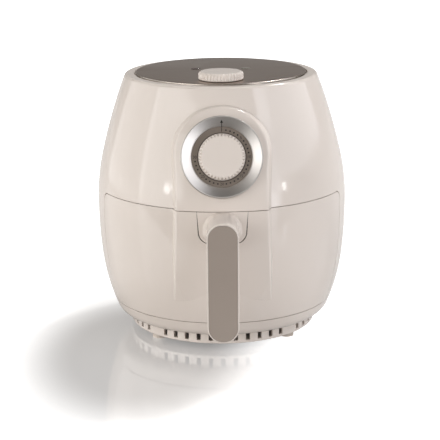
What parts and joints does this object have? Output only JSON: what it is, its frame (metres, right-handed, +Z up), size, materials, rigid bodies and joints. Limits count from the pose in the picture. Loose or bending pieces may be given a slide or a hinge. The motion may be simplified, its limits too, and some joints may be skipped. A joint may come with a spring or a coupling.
{
  "type": "hot-air fryer",
  "caption": "Egg-shaped tabletop hot-air fryer with a pull-out drawer and basket, a front timer dial and a temperature knob on top.",
  "frame": {"origin": "on the table under the middle of the bounding box, handle included", "axes": "+Z up, -Y to the front where the drawer pulls out, +X to the right seen from behind the handle"},
  "size_m": [0.23, 0.2732, 0.2474],
  "materials": {
    "ivory_plastic": "gloss moulded",
    "grey_plastic": "satin",
    "dark_plastic": "matt moulded",
    "rubber": "moulded",
    "brushed_plate": "brushed",
    "bezel_aluminium": "spun",
    "zinc_steel": "zinc plated",
    "chamber_steel": "aluminised sheet",
    "heater_steel": "oxidised tube",
    "nonstick_steel": "non-stick coat",
    "fan_aluminium": "stamped",
    "motor_steel": "painted",
    "brass": "turned",
    "red_lens": "clear red",
    "green_lens": "clear pale green"
  },
  "bodies": {
    "housing": {"housing": "ivory_plastic", "front_frame": "dark_plastic", "base": "ivory_plastic", "feet": "rubber", "foot_screws": "zinc_steel", "liner_screws": "zinc_steel", "top_plate": "brushed_plate", "lamp_heat": "red_lens", "lamp_power": "green_lens", "thermostat": "dark_plastic", "thermostat_nut": "brass", "timer_bezel": "bezel_aluminium", "timer_scale": "brushed_plate", "timer_body": "dark_plastic", "chamber_liner": "chamber_steel", "guide_rails": "chamber_steel", "chamber_dome": "chamber_steel", "heating_element": "heater_steel", "heater_clips": "zinc_steel", "motor_bracket": "zinc_steel", "motor_body": "motor_steel", "thermal_cutout": "zinc_steel", "vent_grille": "dark_plastic", "cord_gland": "dark_plastic"},
    "drawer": {"drawer_front": "ivory_plastic", "pan": "nonstick_steel", "inner_cover": "dark_plastic", "drawer_screws": "zinc_steel", "basket": "nonstick_steel", "basket_floor": "nonstick_steel", "basket_bracket": "zinc_steel", "basket_rivets": "zinc_steel", "tongue_screws": "zinc_steel", "handle": "ivory_plastic", "handle_inlay": "grey_plastic"},
    "timer": {"timer_knob": "ivory_plastic", "timer_spindle": "zinc_steel"},
    "temperature": {"temperature_knob": "ivory_plastic", "thermostat_spindle": "zinc_steel"},
    "rotor": {"motor_shaft": "zinc_steel", "convection_fan": "fan_aluminium", "cooling_fan": "dark_plastic", "fan_nut": "zinc_steel"}
  },
  "joints": [
    {"name": "drawer_slide", "type": "slide", "parent": "housing", "child": "drawer", "axis": [0, -1, 0], "range_m": [0, 0.205]},
    {"name": "timer_turn", "type": "hinge", "parent": "housing", "child": "timer", "pos_m": [0, -0.09142, 0.1835], "axis": [0, 0.9668, -0.2554], "range_deg": [0, 270]},
    {"name": "temperature_turn", "type": "hinge", "parent": "housing", "child": "temperature", "pos_m": [0, -0.03017, 0.2405], "axis": [0, 0, -1], "range_deg": [0, 270]},
    {"name": "fan_spin", "type": "hinge", "parent": "housing", "child": "rotor", "pos_m": [0, 0.02165, 0.18], "axis": [0, 0, 1], "continuous": true}
  ]
}
